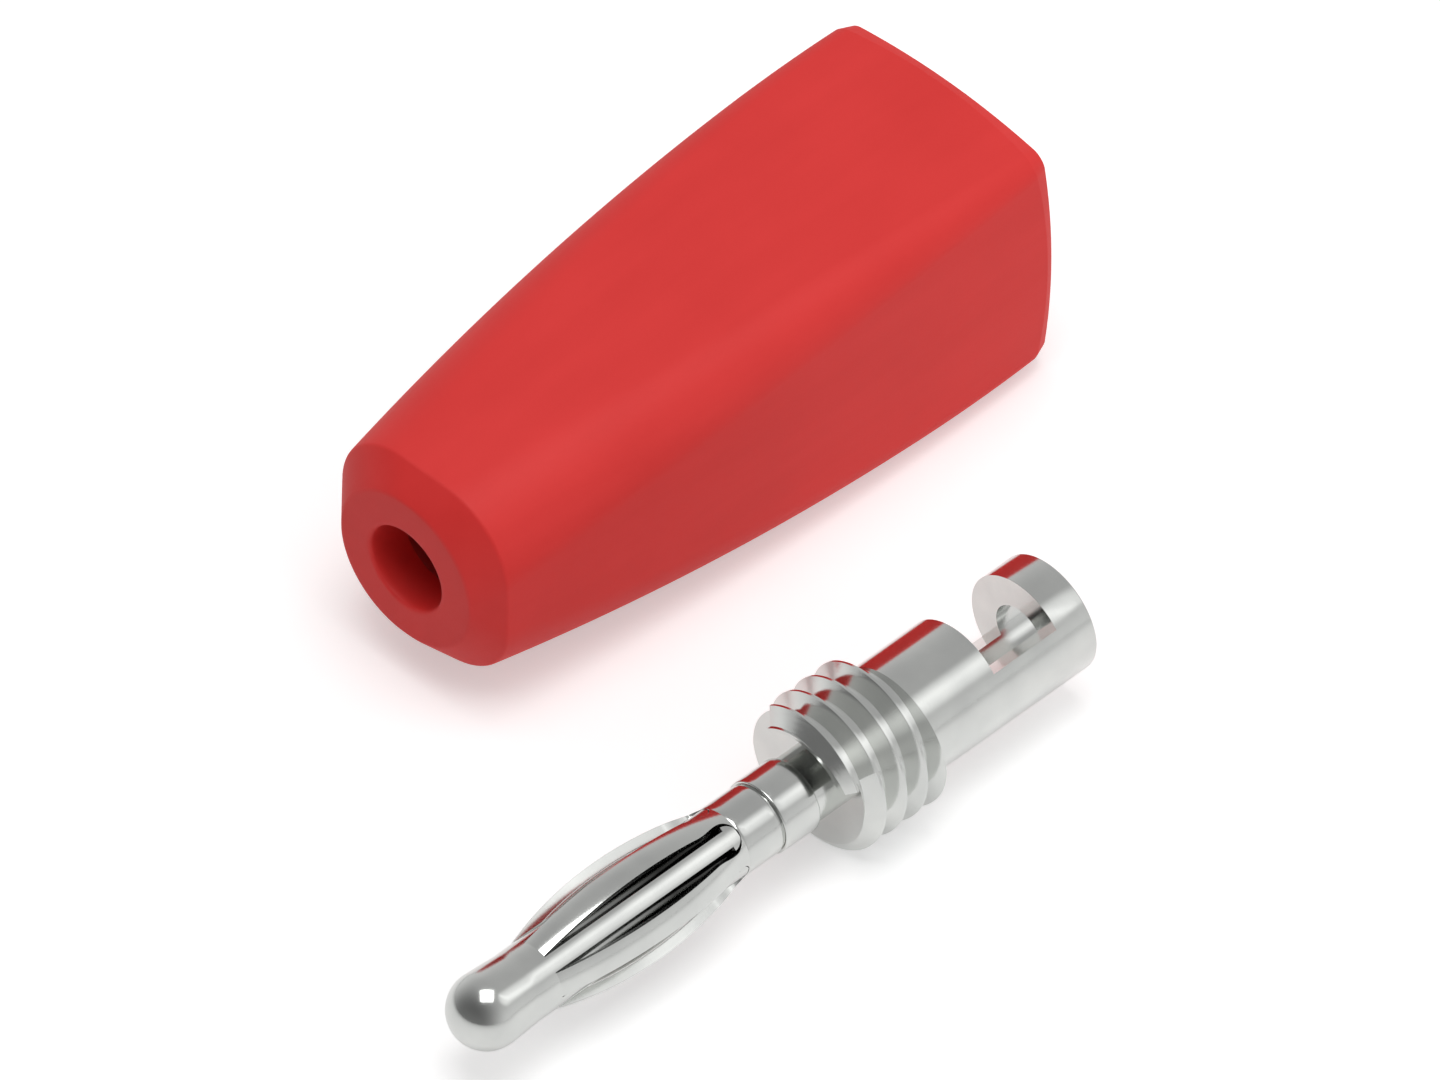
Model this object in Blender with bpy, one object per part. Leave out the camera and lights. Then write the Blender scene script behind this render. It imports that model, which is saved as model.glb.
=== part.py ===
# A 4 mm banana plug taken apart: the nickel contact with its bowed spring leaves, and the red
# insulating sleeve that screws onto it. Sizes are in millimetres and become metres in make_object.
# +X runs from the ball nose to the rear, +Z is up, and both pieces lie level on one floor at Z = 0.
# An angle about a piece's axis is counted from -Y towards +Z.

import math

import bmesh
import bpy

MM = 0.001
SIDES = 36
WELD = 0.0005
# How far a cutter reaches past the face it opens
OVERRUN = 1.0
GROOVE_OVERRUN = 0.05

# Spring contact, distances from the nose tip
NOSE_RADIUS = 1.433
NOSE_TAPER_END_X = 2.8
CAGE_RADIUS = 1.355
CAGE_WALL = 0.355
CAGE_BORE_X = 3.0
CAGE_START_X = 3.75
CAGE_END_X = 12.8
LEAF_COUNT = 5
LEAF_PITCH = 360.0 / LEAF_COUNT
LEAF_FIRST_ANGLE = 18.7
LEAF_HALF_ANGLE = 20.4
LEAF_ROOT_HALF_ANGLE = 13.2
LEAF_ROOT_START_X = 11.2
LEAF_BOW = 0.676
SLOT_END_RADIUS = 0.5
BAR_HALF_ANGLE = 13.8
BAR_HEAD_X = 12.33
BAR_HEAD_GAP = 0.045
REAR_COLLAR_RADIUS = 1.375
REAR_COLLAR_END_X = 14.4
LEAF_COLUMNS = 6
BAR_COLUMNS = 3
LEAF_STEPS = 8

# Contact body
FIT_GAP = 0.03
SEAT_GAP = 0.1
SEAT_LIP_RADIUS = 1.31
SEAT_LIP_GAP = 0.02
CORE_RADIUS = 0.8
CORE_TIP_X = 3.3
CORE_TIP_CHAMFER = 0.24
SPIGOT_START_X = 12.95
SHANK_RADIUS = 1.444
SHANK_END_X = 16.14
NECK_RADIUS = 1.30
THREAD_START_X = 17.27
THREAD_END_X = 20.65
THREAD_RADIUS = 3.0
THREAD_PITCH = 1.0
THREAD_DEPTH = 0.61 * THREAD_PITCH
THREAD_ROOT_RADIUS = THREAD_RADIUS - THREAD_DEPTH
THREAD_ROOT_HALF_FLAT = 0.1 * THREAD_PITCH
THREAD_FLANK_ANGLE = 30.0
THREAD_HAND = -1
THREAD_GROOVE_X = 17.35
THREAD_GROOVE_ANGLE = 54.7
THREAD_ENTRY_X = 16.5
THREAD_ENTRY_START_ANGLE = 30.0
THREAD_ENTRY_END_ANGLE = 130.0
THREAD_ENTRY_INNER_RADIUS = THREAD_ROOT_RADIUS - 0.14
BARREL_RADIUS = 2.288
NOTCH_START_X = 24.125
NOTCH_END_X = 27.14
NOTCH_ANGLE = 128.3
BODY_END_X = 28.63
EDGE_BREAK = 0.06
WIRE_BORE_RADIUS = 1.11
WIRE_BORE_DEPTH_IN_BARREL = 4.0

# Insulating sleeve, distances from its small end
SLEEVE_LENGTH = 26.3
SLEEVE_HALF_SIDE = 5.02
SLEEVE_WIDEST_X = 20.0
SLEEVE_FRONT_TAPER = 1.14
SLEEVE_REAR_TAPER = 0.16
SLEEVE_CORNER_SMALL_END = 3.05
SLEEVE_CORNER_BIG_END = 0.69
SLEEVE_LEAST_CORNER = 0.25
SLEEVE_SIDE_BOW = 0.24
SLEEVE_END_BULGE = 0.45
SLEEVE_END_BULGE_START_X = 18.0
SMALL_END_CHAMFER_RADIAL = 0.78
SMALL_END_CHAMFER_AXIAL = 0.95
RIM_RADIAL = 0.2
RIM_AXIAL = 0.4
RIM_BULGE = 0.15
CABLE_HOLE_RADIUS = 1.69
CABLE_HOLE_DEPTH = 1.67
CAVITY_RADIUS = BARREL_RADIUS + 0.16
NUT_MOUTH_DEPTH = 0.65
NUT_THREAD_LENGTH = 3.95
NUT_THREAD_END_X = SLEEVE_LENGTH - NUT_MOUTH_DEPTH
NUT_THREAD_START_X = NUT_THREAD_END_X - NUT_THREAD_LENGTH
NUT_ROOT_CLEARANCE = 0.16
NUT_CREST_CLEARANCE = 0.06
MOUTH_RADIUS = THREAD_RADIUS + 0.15
CORNER_STEPS = 6
SIDE_STEPS = 4

# Where the sleeve lies beside the contact
SLEEVE_X = 12.95
SLEEVE_Y = 15.44


def clear_scene():
    for obj in list(bpy.data.objects):
        bpy.data.objects.remove(obj, do_unlink=True)


def material(name, colour, metallic, roughness):
    made = bpy.data.materials.new(name)
    made.use_nodes = True
    shader = made.node_tree.nodes["Principled BSDF"]
    shader.inputs["Base Color"].default_value = (*colour, 1.0)
    shader.inputs["Metallic"].default_value = metallic
    shader.inputs["Roughness"].default_value = roughness
    return made


def around(x, radius, angle):
    """A point at this distance along the axis, at an angle in degrees from -Y towards +Z."""
    turn = math.radians(angle)
    return (x, -radius * math.cos(turn), radius * math.sin(turn))


def make_object(name, shape, origin):
    """One mesh object from (points, faces), moved to origin, welded, with its faces turned out."""
    points, faces = shape
    mesh = bpy.data.meshes.new(name)
    moved = [tuple((p + o) * MM for p, o in zip(point, origin)) for point in points]
    mesh.from_pydata(moved, [], faces)
    welded = bmesh.new()
    welded.from_mesh(mesh)
    bmesh.ops.remove_doubles(welded, verts=welded.verts, dist=WELD * MM)
    bmesh.ops.recalc_face_normals(welded, faces=welded.faces)
    welded.to_mesh(mesh)
    welded.free()
    obj = bpy.data.objects.new(name, mesh)
    bpy.context.scene.collection.objects.link(obj)
    return obj


def make_piece(name, shape, origin, made_of):
    """A visible piece: smooth where its faces meet at a small angle, sharp elsewhere."""
    obj = make_object(name, shape, origin)
    obj.data.materials.append(made_of)
    obj.data.shade_smooth()
    obj.data.set_sharp_from_angle(angle=math.radians(30))
    return obj


def make_tool(name, shape, origin):
    """A hidden shape that cuts a piece or is joined to it."""
    obj = make_object(name, shape, origin)
    obj.hide_render = True
    obj.display_type = "WIRE"
    return obj


def boolean(piece, tool, operation):
    modifier = piece.modifiers.new(tool.name, "BOOLEAN")
    modifier.operation = operation
    modifier.solver = "EXACT"
    modifier.object = tool


def add_grid(shape, rows, closed=False):
    """Quads between consecutive rows of points. A closed row also joins its last point to its first."""
    points, faces = shape
    first = len(points)
    width = len(rows[0])
    for row in rows:
        points.extend(row)
    for i in range(len(rows) - 1):
        for j in range(width if closed else width - 1):
            here = first + i * width
            after = (j + 1) % width
            faces.append((here + j, here + after, here + width + after, here + width + j))


def add_fan(shape, centre, ring):
    points, faces = shape
    first = len(points)
    points.append(centre)
    points.extend(ring)
    for j in range(len(ring)):
        faces.append((first, first + 1 + j, first + 1 + (j + 1) % len(ring)))


def turned(profile, angles=None):
    """A solid turned about the axis from (x, radius) corners. Its first and last corner are on the axis."""
    angles = angles or [360.0 * i / SIDES for i in range(SIDES)]
    shape = ([], [])
    rings = [[around(x, r, angle) for angle in angles] for x, r in profile[1:-1]]
    add_grid(shape, rings, closed=True)
    add_fan(shape, (profile[0][0], 0.0, 0.0), rings[0])
    add_fan(shape, (profile[-1][0], 0.0, 0.0), rings[-1])
    return shape


def helical_cutter(start_x, end_x, groove_x, groove_angle, section):
    """A closed bar that follows the thread. section lists (offset along x, radius) corners in order."""
    step = 360.0 / SIDES
    advance = THREAD_PITCH / SIDES
    first = math.floor((start_x - groove_x) / advance)
    last = math.ceil((end_x - groove_x) / advance)
    # The steps lie half a side away from the corners of the turned blank, so no two edges meet.
    phase = (groove_angle + step / 2) % step
    rows = []
    for i in range(first, last + 1):
        # The left-hand thread moves towards +X while the angle grows from -Y towards +Z.
        angle = groove_angle - phase - THREAD_HAND * i * step
        x = groove_x + advance * i + THREAD_HAND * phase / 360.0 * THREAD_PITCH
        rows.append([around(x + offset, radius, angle) for offset, radius in section])
    shape = ([], [])
    add_grid(shape, rows, closed=True)
    ends = len(rows) - 1
    width = len(section)
    shape[1].append(tuple(range(width)))
    shape[1].append(tuple(range(ends * width, ends * width + width)))
    return shape


def leaf_bow(x):
    """How far a leaf stands out at x: an arc of a circle between its two creases."""
    half_length = (CAGE_END_X - CAGE_START_X) / 2
    arc_radius = (half_length**2 + LEAF_BOW**2) / (2 * LEAF_BOW)
    from_middle = x - (CAGE_START_X + CAGE_END_X) / 2
    return max(0.0, math.sqrt(arc_radius**2 - from_middle**2) - (arc_radius - LEAF_BOW))


def leaf_half_angle(x):
    """A leaf keeps its width, narrows beside the bar's free end, and widens round the slot's end."""
    slot_round_x = CAGE_END_X - SLOT_END_RADIUS
    if x <= LEAF_ROOT_START_X:
        return LEAF_HALF_ANGLE
    if x <= slot_round_x:
        share = (x - LEAF_ROOT_START_X) / (slot_round_x - LEAF_ROOT_START_X)
        eased = share * share * (3 - 2 * share)
        return LEAF_HALF_ANGLE + (LEAF_ROOT_HALF_ANGLE - LEAF_HALF_ANGLE) * eased
    share = min(1.0, (x - slot_round_x) / SLOT_END_RADIUS)
    reach = LEAF_PITCH / 2 - LEAF_ROOT_HALF_ANGLE
    return LEAF_PITCH / 2 - reach * math.sqrt(1 - share * share)


def strip_angles(centre, half_angle, columns):
    return [centre + half_angle * (2 * i / columns - 1) for i in range(columns + 1)]


def add_strip(shape, stations, centre, columns):
    """A curved strip of the cage from (x, half angle, bow) stations, open at both of its ends."""
    outer_rows = []
    inner_rows = []
    out_x, out_y, out_z = around(0.0, 1.0, centre)
    for x, half_angle, bow in stations:
        for rows, radius in ((outer_rows, CAGE_RADIUS), (inner_rows, CAGE_RADIUS - CAGE_WALL)):
            row = [around(x, radius, angle) for angle in strip_angles(centre, half_angle, columns)]
            rows.append([(px, py + bow * out_y, pz + bow * out_z) for px, py, pz in row])
    add_grid(shape, outer_rows)
    add_grid(shape, inner_rows)
    for side in (0, -1):
        add_grid(shape, [[outer[side], inner[side]] for outer, inner in zip(outer_rows, inner_rows)])
    return outer_rows[-1], inner_rows[-1]


def nose_profile():
    """The ball nose and the slight cone behind it, down to the front collar, from tip to cage."""
    steps = 7
    turns = [math.pi / 2 * i / steps for i in range(1, steps + 1)]
    corners = [(NOSE_RADIUS * (1 - math.cos(t)), NOSE_RADIUS * math.sin(t)) for t in turns]
    corners.append((NOSE_TAPER_END_X, CAGE_RADIUS))
    corners.append((CAGE_START_X, CAGE_RADIUS))
    return corners


def spring_contact_shape():
    """Nose, front collar, bowed leaves, straight bars and rear collar as one slit tube.

    A bar keeps its width up to its head, which fills the slot's round end but for a narrow gap.
    """
    shape = ([], [])
    bore = CAGE_RADIUS - CAGE_WALL
    leaves = [LEAF_FIRST_ANGLE + LEAF_PITCH * k for k in range(LEAF_COUNT)]
    front_angles = []
    for centre in leaves:
        front_angles += strip_angles(centre, LEAF_HALF_ANGLE, LEAF_COLUMNS)
        front_angles += strip_angles(centre + LEAF_PITCH / 2, BAR_HALF_ANGLE, BAR_COLUMNS)
    front_rings = [[around(x, r, angle) for angle in front_angles] for x, r in nose_profile()]
    add_grid(shape, front_rings, closed=True)
    add_fan(shape, (0.0, 0.0, 0.0), front_rings[0])
    bore_rings = [[around(x, bore, angle) for angle in front_angles] for x in (CAGE_START_X, CAGE_BORE_X)]
    add_grid(shape, bore_rings, closed=True)
    add_fan(shape, (CAGE_BORE_X, 0.0, 0.0), bore_rings[-1])

    leaf_xs = [CAGE_START_X + (LEAF_ROOT_START_X - CAGE_START_X) * i / LEAF_STEPS
               for i in range(LEAF_STEPS + 1)]
    slot_round_x = CAGE_END_X - SLOT_END_RADIUS
    leaf_xs += [LEAF_ROOT_START_X + (slot_round_x - LEAF_ROOT_START_X) * s for s in (0.35, 0.65, 1.0)]
    slot_xs = [slot_round_x + SLOT_END_RADIUS * s for s in (0.2, 0.5, 0.8, 0.94, 1.0)]
    leaf_xs += slot_xs
    leaf_stations = [(x, leaf_half_angle(x), leaf_bow(x)) for x in leaf_xs]

    gap_angle = math.degrees(BAR_HEAD_GAP / CAGE_RADIUS)
    bar_stations = [(CAGE_START_X, BAR_HALF_ANGLE, 0.0), (BAR_HEAD_X, BAR_HALF_ANGLE, 0.0)]
    for x in [BAR_HEAD_X + EDGE_BREAK] + [x for x in slot_xs if x > BAR_HEAD_X + EDGE_BREAK]:
        head_x = min(x, CAGE_END_X - BAR_HEAD_GAP)
        bar_stations.append((head_x, LEAF_PITCH / 2 - leaf_half_angle(head_x) - gap_angle, 0.0))

    rear_outer = []
    rear_inner = []
    for centre in leaves:
        outer, inner = add_strip(shape, leaf_stations, centre, LEAF_COLUMNS)
        rear_outer += outer[:-1]
        rear_inner += inner[:-1]
        bar_centre = centre + LEAF_PITCH / 2
        tip_outer, tip_inner = add_strip(shape, bar_stations, bar_centre, BAR_COLUMNS)
        add_grid(shape, [tip_outer, tip_inner])
        for leaf_side in (-1, 1):
            edges = (centre + leaf_side * LEAF_HALF_ANGLE,
                     centre + leaf_side * (LEAF_PITCH / 2 - BAR_HALF_ANGLE))
            add_grid(shape, [[around(CAGE_START_X, r, a) for a in edges] for r in (CAGE_RADIUS, bore)])

    rear_angles = []
    for centre in leaves:
        rear_angles += strip_angles(centre, LEAF_PITCH / 2, LEAF_COLUMNS)[:-1]
    rear_profile = [
        (CAGE_END_X + EDGE_BREAK, REAR_COLLAR_RADIUS),
        (REAR_COLLAR_END_X - EDGE_BREAK, REAR_COLLAR_RADIUS),
        (REAR_COLLAR_END_X, REAR_COLLAR_RADIUS - EDGE_BREAK),
        (REAR_COLLAR_END_X, bore),
    ]
    rear_rings = [rear_outer]
    rear_rings += [[around(x, r, angle) for angle in rear_angles] for x, r in rear_profile]
    rear_rings.append(rear_inner)
    add_grid(shape, rear_rings, closed=True)
    return shape


def contact_body_shape():
    """Core pin, spigot, shank, relief neck, thread blank and barrel as one turned bar.

    Part of a turn of the blank stands in front of the thread's first face.
    """
    spigot_radius = CAGE_RADIUS - CAGE_WALL - FIT_GAP
    seat_x = REAR_COLLAR_END_X + SEAT_GAP
    front = [
        (CORE_TIP_X, CORE_RADIUS - CORE_TIP_CHAMFER),
        (CORE_TIP_X + CORE_TIP_CHAMFER, CORE_RADIUS),
        (SPIGOT_START_X - (spigot_radius - CORE_RADIUS), CORE_RADIUS),
        (SPIGOT_START_X, spigot_radius),
        (REAR_COLLAR_END_X + SEAT_LIP_GAP, spigot_radius),
        (REAR_COLLAR_END_X + SEAT_LIP_GAP, SEAT_LIP_RADIUS),
        (seat_x, SEAT_LIP_RADIUS),
        (seat_x, SHANK_RADIUS - EDGE_BREAK),
        (seat_x + EDGE_BREAK, SHANK_RADIUS),
        (SHANK_END_X - EDGE_BREAK, SHANK_RADIUS),
        (SHANK_END_X, NECK_RADIUS),
        (THREAD_START_X, NECK_RADIUS),
        (THREAD_START_X, THREAD_ENTRY_INNER_RADIUS),
    ]
    rear = [
        (THREAD_START_X, THREAD_RADIUS),
        (THREAD_END_X, THREAD_RADIUS),
        (THREAD_END_X, BARREL_RADIUS),
        (BODY_END_X - EDGE_BREAK, BARREL_RADIUS),
        (BODY_END_X, BARREL_RADIUS - EDGE_BREAK),
    ]
    step = 360.0 / SIDES
    angles = [step * i for i in range(SIDES)]
    shape = ([], [])
    for profile, end, tip_x in ((front, 0, CORE_TIP_X), (rear, -1, BODY_END_X)):
        rings = [[around(x, r, angle) for angle in angles] for x, r in profile]
        add_grid(shape, rings, closed=True)
        add_fan(shape, (tip_x, 0.0, 0.0), rings[end])
    face = [front[-1], rear[0]]
    entry = [
        front[-1],
        (THREAD_ENTRY_X, THREAD_ENTRY_INNER_RADIUS),
        (THREAD_ENTRY_X, THREAD_RADIUS),
        rear[0],
    ]
    for angle in angles:
        inside = THREAD_ENTRY_START_ANGLE <= angle + step / 2 <= THREAD_ENTRY_END_ANGLE
        path = entry if inside else face
        add_grid(shape, [[around(x, r, a) for x, r in path] for a in (angle, angle + step)])
    for near in (THREAD_ENTRY_START_ANGLE, THREAD_ENTRY_END_ANGLE):
        angle = step * round(near / step)
        first = len(shape[0])
        shape[0].extend(around(x, r, angle) for x, r in entry)
        shape[1].append((first, first + 1, first + 2, first + 3))
    return shape


def thread_groove_section():
    """The V groove of the contact's thread, open past the crest."""
    outer = THREAD_RADIUS + GROOVE_OVERRUN
    widening = (outer - THREAD_ROOT_RADIUS) * math.tan(math.radians(THREAD_FLANK_ANGLE))
    top = THREAD_ROOT_HALF_FLAT + widening
    return [
        (-THREAD_ROOT_HALF_FLAT, THREAD_ROOT_RADIUS),
        (-top, outer),
        (top, outer),
        (THREAD_ROOT_HALF_FLAT, THREAD_ROOT_RADIUS),
    ]


def nut_groove_section():
    """The V groove of the sleeve's thread, open inside the bore."""
    outer = THREAD_RADIUS + NUT_CREST_CLEARANCE
    inner = THREAD_ROOT_RADIUS + NUT_ROOT_CLEARANCE - GROOVE_OVERRUN
    flat = THREAD_ROOT_HALF_FLAT
    bottom = flat + (outer - inner) * math.tan(math.radians(THREAD_FLANK_ANGLE))
    return [(-flat, outer), (-bottom, inner), (bottom, inner), (flat, outer)]


def wire_bore_shape():
    """The wire bore from the rear end, through the notch and blind in the barrel."""
    bottom_x = NOTCH_START_X - WIRE_BORE_DEPTH_IN_BARREL
    cone = WIRE_BORE_RADIUS * math.tan(math.radians(31))
    return turned([
        (bottom_x - cone, 0.0),
        (bottom_x, WIRE_BORE_RADIUS),
        (BODY_END_X + OVERRUN, WIRE_BORE_RADIUS),
        (BODY_END_X + OVERRUN, 0.0),
    ])


def notch_shape():
    """A box over half of the section, with its floor through the axis and facing NOTCH_ANGLE."""
    reach = BARREL_RADIUS + OVERRUN
    corners = []
    for x in (NOTCH_START_X, NOTCH_END_X):
        _, out_y, out_z = around(0.0, 1.0, NOTCH_ANGLE)
        _, side_y, side_z = around(0.0, 1.0, NOTCH_ANGLE - 90.0)
        for out, side in ((0.0, -reach), (0.0, reach), (reach, reach), (reach, -reach)):
            corners.append((x, out * out_y + side * side_y, out * out_z + side * side_z))
    faces = [(0, 1, 2, 3), (4, 5, 6, 7), (0, 1, 5, 4), (1, 2, 6, 5), (2, 3, 7, 6), (3, 0, 4, 7)]
    return (corners, faces)


def sleeve_half_side(x):
    """Half the distance between flat sides, largest near the big end."""
    if x < SLEEVE_WIDEST_X:
        return SLEEVE_HALF_SIDE - SLEEVE_FRONT_TAPER * (1 - x / SLEEVE_WIDEST_X) ** 2
    past = (x - SLEEVE_WIDEST_X) / (SLEEVE_LENGTH - SLEEVE_WIDEST_X)
    return SLEEVE_HALF_SIDE - SLEEVE_REAR_TAPER * past**2


def sleeve_bow(x):
    return SLEEVE_SIDE_BOW * x / SLEEVE_LENGTH


def sleeve_farthest_x():
    """Where the middle of a side stands farthest from the axis: its bow still grows as the side tapers."""
    rear_length = SLEEVE_LENGTH - SLEEVE_WIDEST_X
    return SLEEVE_WIDEST_X + SLEEVE_SIDE_BOW / SLEEVE_LENGTH * rear_length**2 / (2 * SLEEVE_REAR_TAPER)


def sleeve_reach():
    """The largest distance of a side's middle from the axis."""
    farthest_x = sleeve_farthest_x()
    return sleeve_half_side(farthest_x) + sleeve_bow(farthest_x)


def sleeve_body_xs():
    """Stations along the body, evenly up to the farthest one and evenly behind it."""
    start = SMALL_END_CHAMFER_AXIAL
    middle = sleeve_farthest_x()
    end = SLEEVE_LENGTH - RIM_AXIAL
    return ([start + (middle - start) * i / 8 for i in range(9)]
            + [middle + (end - middle) * i / 3 for i in range(1, 4)])


def sleeve_bulge(x):
    """How far the corners of a section stand back from the middles of its sides, near the big end."""
    share = max(0.0, (x - SLEEVE_END_BULGE_START_X) / (SLEEVE_LENGTH - SLEEVE_END_BULGE_START_X))
    return SLEEVE_END_BULGE * share**2


def sleeve_ring(x, inset, bulge):
    """A rounded square with bowed sides, drawn in by inset, whose corners stand back by bulge.

    The inset takes nothing from the corner radius at the small end and all of itself at the big end.
    """
    half = sleeve_half_side(x) - inset
    corner_share = x / SLEEVE_LENGTH
    corner = SLEEVE_CORNER_SMALL_END
    corner += (SLEEVE_CORNER_BIG_END - SLEEVE_CORNER_SMALL_END) * corner_share
    corner = max(SLEEVE_LEAST_CORNER, corner - inset * corner_share)
    quadrant = []
    for i in range(CORNER_STEPS + 1):
        turn = math.pi / 2 * i / CORNER_STEPS
        quadrant.append((half - corner + corner * math.cos(turn), half - corner + corner * math.sin(turn)))
    for i in range(1, SIDE_STEPS):
        quadrant.append(((half - corner) * (1 - 2 * i / SIDE_STEPS), half))
    bow = sleeve_bow(x) / half
    ring = []
    for quarter in range(4):
        cosine, sine = ((1, 0), (0, 1), (-1, 0), (0, -1))[quarter]
        for a, b in quadrant:
            wide_a = a * (1 + bow * (1 - (b / half) ** 2))
            wide_b = b * (1 + bow * (1 - (a / half) ** 2))
            back = bulge * (a * b / half**2) ** 2
            ring.append((x - back, wide_a * cosine - wide_b * sine, wide_a * sine + wide_b * cosine))
    return ring


def sleeve_shape():
    """The outside of the sleeve, with a chamfer at the small end and a narrow one at the big end."""
    rings = [sleeve_ring(0.0, SMALL_END_CHAMFER_RADIAL, 0.0)]
    rings += [sleeve_ring(x, 0.0, sleeve_bulge(x)) for x in sleeve_body_xs()]
    rings.append(sleeve_ring(SLEEVE_LENGTH, RIM_RADIAL, RIM_BULGE))
    shape = ([], [])
    add_grid(shape, rings, closed=True)
    add_fan(shape, (0.0, 0.0, 0.0), rings[0])
    add_fan(shape, (SLEEVE_LENGTH, 0.0, 0.0), rings[-1])
    return shape


def sleeve_bore_shape():
    """Cable hole, solder cavity, thread bore and mouth, as the room inside the sleeve."""
    bore = THREAD_ROOT_RADIUS + NUT_ROOT_CLEARANCE
    lead = MOUTH_RADIUS - bore
    cavity_start = CABLE_HOLE_DEPTH + CAVITY_RADIUS - CABLE_HOLE_RADIUS
    return turned([
        (-OVERRUN, 0.0),
        (-OVERRUN, CABLE_HOLE_RADIUS),
        (CABLE_HOLE_DEPTH, CABLE_HOLE_RADIUS),
        (cavity_start, CAVITY_RADIUS),
        (NUT_THREAD_START_X - lead, CAVITY_RADIUS),
        (NUT_THREAD_START_X - lead / 2, bore),
        (NUT_THREAD_END_X - lead, bore),
        (NUT_THREAD_END_X, MOUTH_RADIUS),
        (SLEEVE_LENGTH + OVERRUN, MOUTH_RADIUS),
        (SLEEVE_LENGTH + OVERRUN, 0.0),
    ])


def build():
    clear_scene()
    red = material("red_plastic", (0.60, 0.035, 0.03), 0.0, 0.4)
    spring_plate = material("nickel_spring", (0.72, 0.72, 0.70), 1.0, 0.18)
    body_plate = material("nickel_body", (0.70, 0.70, 0.69), 1.0, 0.2)

    reach = sleeve_reach()
    middle_x = (SLEEVE_X + SLEEVE_LENGTH) / 2
    middle_y = (SLEEVE_Y + reach - THREAD_RADIUS) / 2
    contact_at = (-middle_x, -middle_y, THREAD_RADIUS)
    sleeve_at = (SLEEVE_X - middle_x, SLEEVE_Y - middle_y, reach)

    make_piece("spring_contact", spring_contact_shape(), contact_at, spring_plate)

    body = make_piece("contact_body", contact_body_shape(), contact_at, body_plate)
    boolean(body, make_tool("tool_notch", notch_shape(), contact_at), "DIFFERENCE")
    boolean(body, make_tool("tool_wire_bore", wire_bore_shape(), contact_at), "DIFFERENCE")
    groove = helical_cutter(THREAD_ENTRY_X - THREAD_PITCH, THREAD_END_X + THREAD_PITCH,
                            THREAD_GROOVE_X, THREAD_GROOVE_ANGLE, thread_groove_section())
    boolean(body, make_tool("tool_thread_groove", groove, contact_at), "DIFFERENCE")

    sleeve = make_piece("insulating_sleeve", sleeve_shape(), sleeve_at, red)
    boolean(sleeve, make_tool("tool_sleeve_bore", sleeve_bore_shape(), sleeve_at), "DIFFERENCE")
    nut_groove = helical_cutter(NUT_THREAD_START_X, NUT_THREAD_END_X + THREAD_PITCH / 2,
                                THREAD_GROOVE_X, THREAD_GROOVE_ANGLE, nut_groove_section())
    boolean(sleeve, make_tool("tool_nut_groove", nut_groove, sleeve_at), "DIFFERENCE")


build()
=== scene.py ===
"""The looks of a 4 mm banana plug taken apart: bright nickel contact and red moulded sleeve.

Lengths are in millimetres until make_mesh turns them into metres. An angle about a piece's axis is
counted from -Y towards +Z. Distances along a piece are counted from the nose tip or the sleeve's
small end.
"""

import math

import bmesh
import bpy
import numpy as np
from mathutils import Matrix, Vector


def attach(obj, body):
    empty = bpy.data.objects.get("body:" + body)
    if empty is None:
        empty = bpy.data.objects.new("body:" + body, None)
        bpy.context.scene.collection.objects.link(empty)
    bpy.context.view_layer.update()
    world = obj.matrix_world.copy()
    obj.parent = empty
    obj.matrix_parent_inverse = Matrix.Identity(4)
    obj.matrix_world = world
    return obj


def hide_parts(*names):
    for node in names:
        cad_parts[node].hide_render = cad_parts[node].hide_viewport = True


MM = 0.001
# The rows of points between a plain cylinder's edges start this far from them.
ROW_INSET = 0.3

# Spring contact
NOSE_RADIUS = 1.433
NOSE_TAPER_END_X = 2.8
NOSE_TAPER_EASE = 1.2
CAGE_RADIUS = 1.355
CAGE_WALL = 0.355
CAGE_BORE_X = 3.0
CAGE_START_X = 3.75
CAGE_END_X = 12.8
LEAF_COUNT = 5
LEAF_PITCH = 360.0 / LEAF_COUNT
LEAF_FIRST_ANGLE = 18.7
LEAF_HALF_ANGLE = 20.4
LEAF_ROOT_HALF_ANGLE = 13.2
LEAF_ROOT_START_X = 11.2
LEAF_BOW = 0.676
SLOT_END_RADIUS = 0.5
BAR_HALF_ANGLE = 13.8
BAR_HEAD_X = 12.33
BAR_HEAD_STEP = 0.02
BAR_HEAD_GAP = 0.045
REAR_COLLAR_RADIUS = 1.375
REAR_COLLAR_END_X = 14.4
COLLAR_STEP_FOOT = (0.04, 0.012)
COLLAR_STEP_LENGTH = 0.09
COLLAR_EDGE_ROUND = 0.05
CAGE_EDGE_BREAK = 0.022
CAGE_SHARP_ANGLE = 12
LEAF_COLUMNS = 20
BAR_COLUMNS = 12

# Contact body
TURNED_SIDES = 144
SIDE_ANGLE = 360.0 / TURNED_SIDES
BODY_SHARP_ANGLE = 28
FIT_GAP = 0.03
SEAT_GAP = 0.1
SEAT_LIP_RADIUS = 1.31
SEAT_LIP_GAP = 0.02
CORE_RADIUS = 0.8
CORE_TIP_X = 3.3
CORE_TIP_CHAMFER = 0.24
SPIGOT_START_X = 12.95
SHANK_RADIUS = 1.444
SHANK_END_X = 16.14
NECK_RADIUS = 1.30
THREAD_START_X = 17.27
THREAD_END_X = 20.65
THREAD_RADIUS = 3.0
THREAD_PITCH = 1.0
THREAD_ROOT_RADIUS = 2.39
THREAD_ROOT_HALF_FLAT = 0.1
THREAD_SLOPE = math.tan(math.radians(30.0))
THREAD_GROOVE_X = 17.35
THREAD_GROOVE_ANGLE = 54.7
THREAD_ENTRY_X = 16.5
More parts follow.
